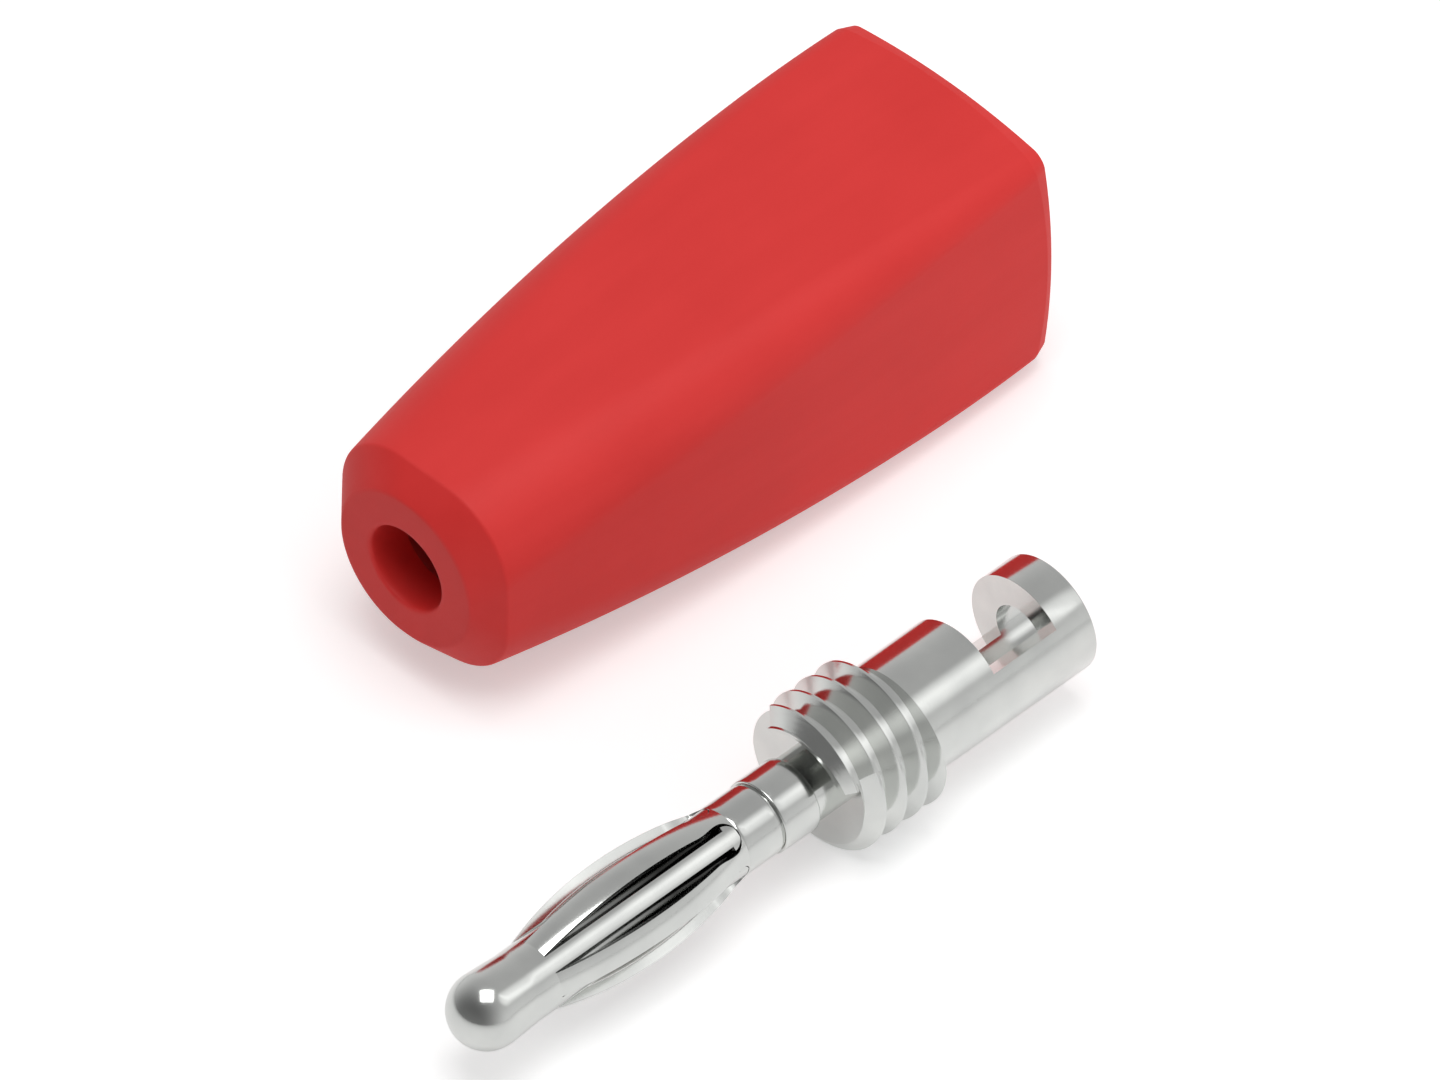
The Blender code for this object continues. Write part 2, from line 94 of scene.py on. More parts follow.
THREAD_ENTRY_START_ANGLE = 30.0
THREAD_ENTRY_END_ANGLE = 130.0
THREAD_ENTRY_INNER_RADIUS = 2.25
BARREL_RADIUS = 2.288
NOTCH_START_X = 24.125
NOTCH_END_X = 27.14
NOTCH_ANGLE = 128.3
BODY_END_X = 28.63
EDGE_BREAK = 0.06
WIRE_BORE_RADIUS = 1.11
WIRE_BORE_END_X = 20.125
WIRE_BORE_CHAMFER = 0.1
DRILL_TIP_ANGLE = 31.0
DRILL_SIDES = 96
CUTTER_OVERRUN = 1.0
SMALL_OVERRUN = 0.05

# Insulating sleeve
SLEEVE_LENGTH = 26.3
SLEEVE_HALF_SIDE = 5.02
SLEEVE_WIDEST_X = 20.0
SLEEVE_FRONT_TAPER = 1.14
SLEEVE_REAR_TAPER = 0.16
SLEEVE_CORNER_SMALL_END = 3.05
SLEEVE_CORNER_BIG_END = 0.69
SLEEVE_LEAST_CORNER = 0.25
SLEEVE_LEAST_FLAT = 0.02
SLEEVE_SIDE_BOW = 0.24
SLEEVE_END_BULGE = 0.45
SLEEVE_END_BULGE_START_X = 18.0
SMALL_END_CHAMFER_RADIAL = 0.78
SMALL_END_CHAMFER_AXIAL = 0.95
SMALL_END_LAND = 0.3
SMALL_END_RUN = 0.4
SMALL_END_EASE = 0.09
RIM_RADIAL = 0.2
RIM_AXIAL = 0.4
RIM_BULGE = 0.15
RIM_LAND = 0.15
RIM_RUN = 0.2
RIM_EASE = 0.035
CABLE_HOLE_RADIUS = 1.69
CABLE_HOLE_DEPTH = 1.67
CAVITY_RADIUS = 2.448
NUT_THREAD_START_X = 21.7
NUT_THREAD_END_X = 25.65
NUT_MINOR_RADIUS = 2.55
NUT_MAJOR_RADIUS = 3.06
NUT_THREAD_FADE = 0.3
NUT_THREAD_ROWS = 130
MOUTH_RADIUS = 3.15
MOUTH_CHAMFER_RADIAL = 0.08
MOUTH_CHAMFER_AXIAL = 0.12
CORNER_STEPS = 24
SIDE_STEPS = 24
SLEEVE_SHARP_ANGLE = 40

# Where the pieces lie: the floor is at Z = 0 and the whole is centred in X and Y
SLEEVE_X = 12.95
SLEEVE_Y = 15.44
SLEEVE_REAR_LENGTH = SLEEVE_LENGTH - SLEEVE_WIDEST_X
SLEEVE_FARTHEST = SLEEVE_SIDE_BOW / SLEEVE_LENGTH * SLEEVE_REAR_LENGTH**2 / (2 * SLEEVE_REAR_TAPER)
SLEEVE_REACH = (SLEEVE_HALF_SIDE - SLEEVE_REAR_TAPER * (SLEEVE_FARTHEST / SLEEVE_REAR_LENGTH) ** 2
                + SLEEVE_SIDE_BOW * (SLEEVE_WIDEST_X + SLEEVE_FARTHEST) / SLEEVE_LENGTH)
MIDDLE_X = (SLEEVE_X + SLEEVE_LENGTH) / 2
MIDDLE_Y = (SLEEVE_Y + SLEEVE_REACH - THREAD_RADIUS) / 2
CONTACT_AT = np.array((-MIDDLE_X, -MIDDLE_Y, THREAD_RADIUS))
SLEEVE_AT = np.array((SLEEVE_X - MIDDLE_X, SLEEVE_Y - MIDDLE_Y, SLEEVE_REACH))

# The photo looks down at 45 degrees from the nose side, with no perspective. Its middle lies
# VIEW_CENTRE from the nose tip in X and Y, level with the contact's axis. Lengths after it are in metres.
VIEW_CENTRE = (23.1, 10.4)
VIEW_TARGET = ((VIEW_CENTRE[0] - MIDDLE_X) * MM, (VIEW_CENTRE[1] - MIDDLE_Y) * MM, THREAD_RADIUS * MM)
VIEW_WIDTH = 0.04915
VIEW_DISTANCE = 0.3
VIEW_DIRECTION = (-0.5, -0.5, math.sqrt(0.5))
FLOOR_HALF_SIDE = 8.0
RIGHT_LIGHT_DIRECTION = (0.5, -0.54, 0.68)


# Surfaces, and the meshes made of them

class Surface:
    """Grids of points gathered into one mesh."""

    def __init__(self):
        self.points = []
        self.quads = []
        self.triangles = []
        self.count = 0

    def keep(self, points):
        """Adds points and gives the first one's number."""
        first = self.count
        self.points.append(points)
        self.count += len(points)
        return first

    def grid(self, rows, closed_rows=False, closed_columns=False):
        """Quads over an array (row, column, xyz). Each quad joins a point to the next row and column."""
        high, wide = rows.shape[:2]
        first = self.keep(rows.reshape(-1, 3))
        i, j = np.meshgrid(np.arange(high if closed_rows else high - 1),
                           np.arange(wide if closed_columns else wide - 1), indexing="ij")
        below, beside = (i + 1) % high, (j + 1) % wide
        corners = (i * wide + j, i * wide + beside, below * wide + beside, below * wide + j)
        self.quads.append(first + np.stack(corners, axis=-1).reshape(-1, 4))

    def fan(self, centre, ring):
        """Triangles from a centre to a closed ring of points."""
        first = self.keep(np.vstack([[centre], ring]))
        j = np.arange(len(ring))
        ends = (np.zeros_like(j), 1 + j, 1 + (j + 1) % len(ring))
        self.triangles.append(first + np.stack(ends, axis=-1))


def make_mesh(name, surface, origin, ngons=()):
    """One object at the world's origin, with its place in its mesh. Doubles merged, faces turned out."""
    points = (np.concatenate(surface.points) + origin) * MM
    faces = [face for block in surface.quads + surface.triangles for face in block.tolist()]
    mesh = bpy.data.meshes.new(name)
    mesh.from_pydata(points.tolist(), [], faces + list(ngons))
    joined = bmesh.new()
    joined.from_mesh(mesh)
    bmesh.ops.remove_doubles(joined, verts=joined.verts, dist=0.0002 * MM)
    bmesh.ops.recalc_face_normals(joined, faces=joined.faces)
    joined.to_mesh(mesh)
    joined.free()
    piece = bpy.data.objects.new(name, mesh)
    bpy.context.scene.collection.objects.link(piece)
    return piece


def smooth(piece, sharp_degrees):
    """Smooth shading, but for edges that turn by more than an angle."""
    piece.data.shade_smooth()
    piece.data.set_sharp_from_angle(angle=math.radians(sharp_degrees))


def around(x, radius, degrees):
    """Points at a distance along the axis, a radius and an angle from -Y towards +Z, broadcast."""
    turn = np.radians(degrees)
    x, radius, turn = np.broadcast_arrays(x, radius, turn)
    return np.stack([x, -radius * np.cos(turn), radius * np.sin(turn)], axis=-1).astype(float)


def turned(profile, degrees):
    """A profile of (x, radius) rows carried round the axis: one row of points for each corner."""
    profile = np.asarray(profile, float)
    return around(profile[:, :1], profile[:, 1:], np.asarray(degrees)[None, :])


def arc(centre_x, centre_r, radius, start, end, steps):
    """Corners of a circular arc in the (x, radius) plane, angles in degrees from +X."""
    turn = np.radians(np.linspace(start, end, steps + 1))
    return list(zip(centre_x + radius * np.cos(turn), centre_r + radius * np.sin(turn)))


# Spring contact

def leaf_bow(x):
    """Height of a circular arc of sagitta LEAF_BOW between the two creases."""
    half_length = (CAGE_END_X - CAGE_START_X) / 2
    arc_radius = (half_length**2 + LEAF_BOW**2) / (2 * LEAF_BOW)
    from_middle = x - (CAGE_START_X + CAGE_END_X) / 2
    return np.maximum(0.0, np.sqrt(arc_radius**2 - from_middle**2) - (arc_radius - LEAF_BOW))


def leaf_half_angle(x):
    """Constant, then eased down beside the bar's end, then a quarter ellipse round the slot's end."""
    slot_round_x = CAGE_END_X - SLOT_END_RADIUS
    share = np.clip((x - LEAF_ROOT_START_X) / (slot_round_x - LEAF_ROOT_START_X), 0, 1)
    narrowed = LEAF_HALF_ANGLE + (LEAF_ROOT_HALF_ANGLE - LEAF_HALF_ANGLE) * share**2 * (3 - 2 * share)
    past = np.clip((x - slot_round_x) / SLOT_END_RADIUS, 0, 1)
    reach = LEAF_PITCH / 2 - LEAF_ROOT_HALF_ANGLE
    return np.where(past > 0, LEAF_PITCH / 2 - reach * np.sqrt(1 - past**2), narrowed)


def strip_degrees(centre, half_angle, columns):
    """Angles spread evenly over centre - half_angle to centre + half_angle, a row for each half angle."""
    return centre + np.asarray(half_angle)[..., None] * np.linspace(-1, 1, columns + 1)


def add_strip(surface, x, half_angle, bow, centre, columns):
    """A strip of tube from centre - half_angle to centre + half_angle, pushed outward by bow."""
    out = around(0.0, 1.0, centre)
    sheets = []
    for radius in (CAGE_RADIUS, CAGE_RADIUS - CAGE_WALL):
        rows = around(x[:, None], radius, strip_degrees(centre, half_angle, columns))
        sheets.append(rows + bow[:, None, None] * out * (0, 1, 1))
        surface.grid(sheets[-1])
    for side in (0, -1):
        surface.grid(np.stack([sheets[0][:, side], sheets[1][:, side]], axis=1))
    return sheets[0][-1], sheets[1][-1]


def spring_cage():
    """Ball nose, front collar, bowed leaves, straight bars and rear collar as one closed surface."""
    surface = Surface()
    bore = CAGE_RADIUS - CAGE_WALL
    leaves = [LEAF_FIRST_ANGLE + LEAF_PITCH * k for k in range(LEAF_COUNT)]
    front = []
    for centre in leaves:
        front.append(strip_degrees(centre, LEAF_HALF_ANGLE, LEAF_COLUMNS))
        front.append(strip_degrees(centre + LEAF_PITCH / 2, BAR_HALF_ANGLE, BAR_COLUMNS))
    front = np.concatenate(front)
    # The nose is a quarter circle; a slight cone leads from it down to the front collar.
    nose = arc(NOSE_RADIUS, 0.0, NOSE_RADIUS, 180, 90, 40)[1:]
    share = np.linspace(0, 1, 11)[1:]
    drop = (NOSE_RADIUS - CAGE_RADIUS) * share**NOSE_TAPER_EASE
    nose += list(zip(NOSE_RADIUS + (NOSE_TAPER_END_X - NOSE_RADIUS) * share, NOSE_RADIUS - drop))
    nose += [(x, CAGE_RADIUS) for x in np.linspace(NOSE_TAPER_END_X, CAGE_START_X, 6)[1:]]
    head = turned(nose, front)
    surface.grid(head, closed_columns=True)
    surface.fan((0, 0, 0), head[0])
    wall = turned([(CAGE_START_X, bore), (CAGE_BORE_X, bore)], front)
    surface.grid(wall, closed_columns=True)
    surface.fan((CAGE_BORE_X, 0, 0), wall[-1])

    slot_round_x = CAGE_END_X - SLOT_END_RADIUS
    along = np.concatenate([
        np.linspace(CAGE_START_X, LEAF_ROOT_START_X, 60)[:-1],
        np.linspace(LEAF_ROOT_START_X, slot_round_x, 14),
        slot_round_x + SLOT_END_RADIUS * np.sin(np.linspace(0, np.pi / 2, 15)[1:]),
    ])
    # A bar keeps its width up to its head, which fills the slot's round end but for a narrow gap.
    bar_x = np.concatenate([np.linspace(CAGE_START_X, BAR_HEAD_X, 30),
                            np.linspace(BAR_HEAD_X + BAR_HEAD_STEP, CAGE_END_X - BAR_HEAD_GAP, 16)])
    head_half = LEAF_PITCH / 2 - leaf_half_angle(bar_x) - math.degrees(BAR_HEAD_GAP / CAGE_RADIUS)
    bar_half = np.where(bar_x > BAR_HEAD_X, head_half, BAR_HALF_ANGLE)
    rear_outer, rear_inner, rear = [], [], []
    for centre in leaves:
        outer, inner = add_strip(surface, along, leaf_half_angle(along), leaf_bow(along),
                                 centre, LEAF_COLUMNS)
        rear_outer.append(outer[:-1])
        rear_inner.append(inner[:-1])
        rear.append(strip_degrees(centre, LEAF_PITCH / 2, LEAF_COLUMNS)[:-1])
        tips = add_strip(surface, bar_x, bar_half, np.zeros_like(bar_x), centre + LEAF_PITCH / 2,
                         BAR_COLUMNS)
        surface.grid(np.stack(tips))
        for side in (-1, 1):
            edges = centre + side * np.array((LEAF_HALF_ANGLE, LEAF_PITCH / 2 - BAR_HALF_ANGLE))
            surface.grid(turned([(CAGE_START_X, CAGE_RADIUS), (CAGE_START_X, bore)], edges))
    # The rear collar starts with a small step and ends with a rounded edge.
    collar = [(CAGE_END_X + COLLAR_STEP_FOOT[0], CAGE_RADIUS + COLLAR_STEP_FOOT[1]),
              (CAGE_END_X + COLLAR_STEP_LENGTH, REAR_COLLAR_RADIUS)]
    edge_x = REAR_COLLAR_END_X - COLLAR_EDGE_ROUND
    collar += [(x, REAR_COLLAR_RADIUS) for x in np.linspace(CAGE_END_X + ROW_INSET, edge_x, 8)]
    collar += arc(edge_x, REAR_COLLAR_RADIUS - COLLAR_EDGE_ROUND, COLLAR_EDGE_ROUND, 90, 0, 4)[1:]
    collar += [(REAR_COLLAR_END_X, bore)]
    rings = turned(collar, np.concatenate(rear))
    rings = np.concatenate([np.concatenate(rear_outer)[None], rings, np.concatenate(rear_inner)[None]])
    surface.grid(rings, closed_columns=True)
    piece = make_mesh("spring_cage", surface, CONTACT_AT)
    smooth(piece, CAGE_SHARP_ANGLE)
    bevel = piece.modifiers.new("edge_break", "BEVEL")
    bevel.width = CAGE_EDGE_BREAK * MM
    bevel.segments = 2
    bevel.limit_method = "ANGLE"
    bevel.angle_limit = math.radians(50)
    bevel.harden_normals = True
    return piece


# Contact body

def helical_bar(start_x, end_x, section):
    """A section of (offset along x, radius) corners carried along the thread's left-hand helix."""
    turns = np.arange(math.floor((start_x - THREAD_GROOVE_X) / THREAD_PITCH * TURNED_SIDES),
                      math.ceil((end_x - THREAD_GROOVE_X) / THREAD_PITCH * TURNED_SIDES) + 1)
    # The steps lie half a side away from the corners of the turned blank.
    phase = (THREAD_GROOVE_ANGLE + SIDE_ANGLE / 2) % SIDE_ANGLE
    degrees = THREAD_GROOVE_ANGLE - phase + turns * SIDE_ANGLE
    x = THREAD_GROOVE_X + THREAD_PITCH * (degrees - THREAD_GROOVE_ANGLE) / 360.0
    section = np.asarray(section)
    rows = around(x[:, None] + section[:, 0], section[:, 1], degrees[:, None])
    surface = Surface()
    surface.grid(rows, closed_columns=True)
    wide = len(section)
    last = (len(rows) - 1) * wide
    return surface, [tuple(range(wide)), tuple(range(last, last + wide))]


def body_blank():
    """The turned bar, with part of a turn of the thread's blank standing in front of its first face."""
    spigot = CAGE_RADIUS - CAGE_WALL - FIT_GAP
    seat_x = REAR_COLLAR_END_X + SEAT_GAP
    front = [(CORE_TIP_X, CORE_RADIUS - CORE_TIP_CHAMFER), (CORE_TIP_X + CORE_TIP_CHAMFER, CORE_RADIUS)]
    front += [(SPIGOT_START_X - spigot + CORE_RADIUS, CORE_RADIUS), (SPIGOT_START_X, spigot)]
    front += [(REAR_COLLAR_END_X + SEAT_LIP_GAP, spigot)]
    front += [(REAR_COLLAR_END_X + SEAT_LIP_GAP, SEAT_LIP_RADIUS), (seat_x, SEAT_LIP_RADIUS)]
    front += arc(seat_x + EDGE_BREAK, SHANK_RADIUS - EDGE_BREAK, EDGE_BREAK, 180, 90, 4)
    shank_rows = np.linspace(seat_x + ROW_INSET, SHANK_END_X - ROW_INSET, 4)
    front += [(x, SHANK_RADIUS) for x in shank_rows]
    front += arc(SHANK_END_X - EDGE_BREAK, SHANK_RADIUS - EDGE_BREAK, EDGE_BREAK, 90, 0, 4)
    front += [(SHANK_END_X, NECK_RADIUS), (THREAD_START_X, NECK_RADIUS)]
    front += [(THREAD_START_X, THREAD_ENTRY_INNER_RADIUS)]
    rear = [(THREAD_START_X, THREAD_RADIUS), (THREAD_END_X, THREAD_RADIUS)]
    rear += [(THREAD_END_X, BARREL_RADIUS)]
    rear += arc(BODY_END_X - EDGE_BREAK, BARREL_RADIUS - EDGE_BREAK, EDGE_BREAK, 90, 0, 4)
    degrees = np.arange(TURNED_SIDES) * SIDE_ANGLE
    surface = Surface()
    for profile, end, tip_x in ((front, 0, CORE_TIP_X), (rear, -1, BODY_END_X)):
        rings = turned(profile, degrees)
        surface.grid(rings, closed_columns=True)
        surface.fan((tip_x, 0, 0), rings[end])
    entry = [front[-1], (THREAD_ENTRY_X, THREAD_ENTRY_INNER_RADIUS), (THREAD_ENTRY_X, THREAD_RADIUS),
             rear[0]]
    start, end = THREAD_ENTRY_START_ANGLE, THREAD_ENTRY_END_ANGLE
    surface.grid(turned(entry, np.arange(start, end + SIDE_ANGLE / 2, SIDE_ANGLE)))
    surface.grid(turned([front[-1], rear[0]], np.arange(end, start + 360 + SIDE_ANGLE / 2, SIDE_ANGLE)))
    ends = []
    for degree in (start, end):
        first = surface.keep(turned(entry, [degree])[:, 0])
        ends.append((first, first + 1, first + 2, first + 3))
    return surface, ends


def cut_away(piece, tools):
    """The piece with every tool cut from it, as plain mesh data. The tools are removed again."""
    for tool in tools:
        cut = piece.modifiers.new(tool.name, "BOOLEAN")
        cut.operation = "DIFFERENCE"
        cut.solver = "EXACT"
        cut.object = tool
    bpy.context.view_layer.update()
    graph = bpy.context.evaluated_depsgraph_get()
    result = bpy.data.meshes.new_from_object(piece.evaluated_get(graph))
    piece.modifiers.clear()
    piece.data = result
    for tool in tools:
        bpy.data.objects.remove(tool, do_unlink=True)


def turned_body():
    """The turned bar with the notch, the wire bore and the V groove of the thread cut into it."""
    surface, ends = body_blank()
    piece = make_mesh("turned_body", surface, CONTACT_AT, ends)

    reach = BARREL_RADIUS + CUTTER_OVERRUN
    out = around(0.0, 1.0, NOTCH_ANGLE)
    side = around(0.0, 1.0, NOTCH_ANGLE - 90.0)
    box = Surface()
    loop = np.stack([-reach * side, reach * side, reach * side + reach * out, reach * out - reach * side])
    box.grid(np.stack([loop + (NOTCH_START_X, 0, 0), loop + (NOTCH_END_X, 0, 0)]), closed_columns=True)
    notch = make_mesh("notch", box, CONTACT_AT, [(0, 1, 2, 3), (4, 5, 6, 7)])

    # The drill has a cone for a tip and widens past the rear face to chamfer the bore. It is turned by
    # a degree, so that its corners don't meet the blank's.
    cone = WIRE_BORE_RADIUS * math.tan(math.radians(DRILL_TIP_ANGLE))
    wide = WIRE_BORE_RADIUS + WIRE_BORE_CHAMFER + SMALL_OVERRUN
    bore = turned([(WIRE_BORE_END_X, WIRE_BORE_RADIUS), (BODY_END_X - WIRE_BORE_CHAMFER, WIRE_BORE_RADIUS),
                   (BODY_END_X + SMALL_OVERRUN, wide), (BODY_END_X + CUTTER_OVERRUN, wide)],
                  np.arange(DRILL_SIDES) * 360.0 / DRILL_SIDES + 1.0)
    drill = Surface()
    drill.grid(bore, closed_columns=True)
    drill.fan((WIRE_BORE_END_X - cone, 0, 0), bore[0])
    drill.fan((BODY_END_X + CUTTER_OVERRUN, 0, 0), bore[-1])
    wire_bore = make_mesh("wire_bore", drill, CONTACT_AT)

    outer = THREAD_RADIUS + SMALL_OVERRUN
    top = THREAD_ROOT_HALF_FLAT + (outer - THREAD_ROOT_RADIUS) * THREAD_SLOPE
    section = [(-THREAD_ROOT_HALF_FLAT, THREAD_ROOT_RADIUS), (-top, outer), (top, outer),
               (THREAD_ROOT_HALF_FLAT, THREAD_ROOT_RADIUS)]
    bar, caps = helical_bar(THREAD_ENTRY_X - THREAD_PITCH, THREAD_END_X + THREAD_PITCH, section)
    groove = make_mesh("groove", bar, CONTACT_AT, caps)
    cut_away(piece, [notch, wire_bore, groove])
    smooth(piece, BODY_SHARP_ANGLE)
    return piece


# Insulating sleeve

def eased(corners, reach):
    """The points of a bent line whose inner corners are rounded by parabolas that start at reach."""
    corners = np.asarray(corners, float)
    points = [corners[:1]]
    share = np.linspace(0, 1, 6)[:, None]
    for before, corner, after in zip(corners, corners[1:], corners[2:]):
        first = corner + (before - corner) / np.linalg.norm(before - corner) * reach
        last = corner + (after - corner) / np.linalg.norm(after - corner) * reach
        points.append((1 - share) ** 2 * first + 2 * share * (1 - share) * corner + share**2 * last)
    return np.concatenate(points + [corners[-1:]])


def sleeve_half_side(x):
    """Half a section's side. It falls off from the widest section with the square of the distance, by
    its own taper towards either end."""
    front = SLEEVE_HALF_SIDE - SLEEVE_FRONT_TAPER * np.clip(1 - x / SLEEVE_WIDEST_X, 0, 1) ** 2
    past = np.clip((x - SLEEVE_WIDEST_X) / (SLEEVE_LENGTH - SLEEVE_WIDEST_X), 0, 1)
    return front - SLEEVE_REAR_TAPER * past**2


def sleeve_bulge(x):
    """How far a section's corners stand back: it grows with the square of the distance into the end."""
    share = (x - SLEEVE_END_BULGE_START_X) / (SLEEVE_LENGTH - SLEEVE_END_BULGE_START_X)
    return SLEEVE_END_BULGE * np.clip(share, 0, 1) ** 2


def sleeve_rings(x, inset, bulge):
    """Rounded squares at the distances x, drawn in by inset, with bowed sides and corners that stand
    back by bulge. Columns run round the section, more of them in the corners."""
    half = (sleeve_half_side(x) - inset)[:, None]
    corner = SLEEVE_CORNER_SMALL_END
    corner = corner + (SLEEVE_CORNER_BIG_END - SLEEVE_CORNER_SMALL_END) * x / SLEEVE_LENGTH
    corner = np.maximum(SLEEVE_LEAST_CORNER, corner - inset * x / SLEEVE_LENGTH)[:, None]
    corner = np.minimum(corner, half - SLEEVE_LEAST_FLAT)
    turn = np.linspace(0, np.pi / 2, CORNER_STEPS + 1)
    flat = 1 - 2 * np.arange(1, SIDE_STEPS) / SIDE_STEPS
    a = np.concatenate([half - corner + corner * np.cos(turn), (half - corner) * flat], axis=1)
    b = np.concatenate([half - corner + corner * np.sin(turn), half + 0 * flat], axis=1)
    bow = SLEEVE_SIDE_BOW * x[:, None] / SLEEVE_LENGTH / half
    wide_a = a * (1 + bow * (1 - (b / half) ** 2))
    wide_b = b * (1 + bow * (1 - (a / half) ** 2))
    back = bulge[:, None] * (a * b / half**2) ** 2
    quarters = []
    for cosine, sine in ((1, 0), (0, 1), (-1, 0), (0, -1)):
        quarters.append(np.stack([x[:, None] - back, wide_a * cosine - wide_b * sine,
                                  wide_a * sine + wide_b * cosine], axis=-1))
    return np.concatenate(quarters, axis=1)


def sleeve_moulding():
    """The sleeve as one grid closed both ways: outside, small-end face, bore, female thread and mouth."""
    # The path of the outside as (x, inset, bulge)
    start, end = SMALL_END_CHAMFER_AXIAL + SMALL_END_RUN, SLEEVE_LENGTH - RIM_AXIAL - RIM_RUN
    small_end = eased([(0, SMALL_END_CHAMFER_RADIAL + SMALL_END_LAND, 0), (0, SMALL_END_CHAMFER_RADIAL, 0),
                       (SMALL_END_CHAMFER_AXIAL, 0, 0), (start, 0, 0)], SMALL_END_EASE)
    farthest = SLEEVE_WIDEST_X + SLEEVE_FARTHEST
    along = np.concatenate([np.linspace(start, farthest, 70)[1:], np.linspace(farthest, end, 20)[1:-1]])
    body = np.stack([along, 0 * along, sleeve_bulge(along)], axis=1)
    rim = eased([(end, 0, sleeve_bulge(end)), (end + RIM_RUN, 0, sleeve_bulge(end + RIM_RUN)),
                 (SLEEVE_LENGTH, RIM_RADIAL, RIM_BULGE),
                 (SLEEVE_LENGTH, RIM_RADIAL + RIM_LAND, RIM_BULGE)], RIM_EASE)
    path = np.concatenate([small_end, body, rim])
    outside = sleeve_rings(path[:, 0], path[:, 1], path[:, 2])

    # Each inner ring is a circle whose points lie at the same angles as the rim's.
    rim = outside[-1]
    direction = rim[:, 1:] / np.linalg.norm(rim[:, 1:], axis=1, keepdims=True)
    degrees = np.degrees(np.arctan2(direction[:, 1], -direction[:, 0]))
    back = (SLEEVE_LENGTH - rim[:, 0]) * MOUTH_RADIUS / np.linalg.norm(rim[:, 1:], axis=1)

    def circles(x, radius):
        """A circle at each x. The radius is one number, one for each circle, or one for each point."""
        x = np.asarray(x, float).reshape(-1, 1)
        radius = np.asarray(radius, float)
        radius = radius.reshape(-1, 1) if radius.ndim < 2 else radius
        along, radius = np.broadcast_arrays(x, radius, degrees)[:2]
        return np.concatenate([along[..., None], radius[..., None] * direction], axis=-1)

    mouth = circles([SLEEVE_LENGTH], MOUTH_RADIUS + MOUTH_CHAMFER_RADIAL)
    mouth[0, :, 0] -= back
    share = np.linspace(0, 1, 7)[1:-1, None, None]
    big_face = rim[None] * (1 - share) + mouth * share
    mouth_wall = circles([SLEEVE_LENGTH - MOUTH_CHAMFER_AXIAL], MOUTH_RADIUS)
    mouth_wall[0, :, 0] -= back
    lead = MOUTH_RADIUS - NUT_MINOR_RADIUS

    # The female thread's radius is a wave of x and angle: major radius less the depth of its V.
    thread_x = np.linspace(NUT_THREAD_END_X, NUT_THREAD_START_X - lead, NUT_THREAD_ROWS)
    turns = (thread_x[:, None] - THREAD_GROOVE_X) / THREAD_PITCH - (degrees - THREAD_GROOVE_ANGLE) / 360.0
    offset = np.abs(turns - np.round(turns)) * THREAD_PITCH
    wave = NUT_MAJOR_RADIUS - np.maximum(0.0, offset - THREAD_ROOT_HALF_FLAT) / THREAD_SLOPE
    entry = np.clip((thread_x[:, None] - NUT_THREAD_START_X) / NUT_THREAD_FADE, 0, 1)
    wave = NUT_MINOR_RADIUS + (np.maximum(wave, NUT_MINOR_RADIUS) - NUT_MINOR_RADIUS) * entry
    cone = MOUTH_RADIUS - (NUT_THREAD_END_X - thread_x[:, None])
    run_out = CAVITY_RADIUS + np.maximum(0.0, thread_x[:, None] - (NUT_THREAD_START_X - lead))
    wave = np.minimum(np.maximum(wave, cone), np.maximum(run_out, CAVITY_RADIUS))
    thread = circles(thread_x, wave)
    cavity_start = CABLE_HOLE_DEPTH + CAVITY_RADIUS - CABLE_HOLE_RADIUS
    cavity = circles(np.linspace(NUT_THREAD_START_X - lead - 0.05, cavity_start, 12), CAVITY_RADIUS)
    # The cable hole widens a little at the small-end face.
    hole_x = np.array((CABLE_HOLE_DEPTH, 1.2, 0.7, 0.3, 0.12, 0.04, 0.0))
    hole_r = CABLE_HOLE_RADIUS + np.array((0.0, 0.0, 0.0, 0.0, 0.0, 0.03, 0.1))
    hole = circles(hole_x, hole_r)
    share = np.linspace(0, 1, 9)[1:-1, None, None]
    small_face = hole[-1][None] * (1 - share) + outside[0][None] * share

    surface = Surface()
    surface.grid(np.concatenate([outside, big_face, mouth, mouth_wall, thread, cavity, hole, small_face]),
                 closed_rows=True, closed_columns=True)
    piece = make_mesh("sleeve_moulding", surface, SLEEVE_AT)
    smooth(piece, SLEEVE_SHARP_ANGLE)
    return piece


# Materials

class Wire:
    """A shader socket that takes part in Python arithmetic and adds the Math nodes for it."""

    def __init__(self, paint, socket):
        self.paint = paint
        self.socket = socket

    def combine(self, operation, first, second):
        return self.paint.node("ShaderNodeMath", {"operation": operation}, {0: first, 1: second})[0]

    def __add__(self, other):
        return self.combine("ADD", self, other)

    def __sub__(self, other):
        return self.combine("SUBTRACT", self, other)

    def __rsub__(self, other):
        return self.combine("SUBTRACT", other, self)

    def __mul__(self, other):
        return self.combine("MULTIPLY", self, other)

    __radd__ = __add__
    __rmul__ = __mul__


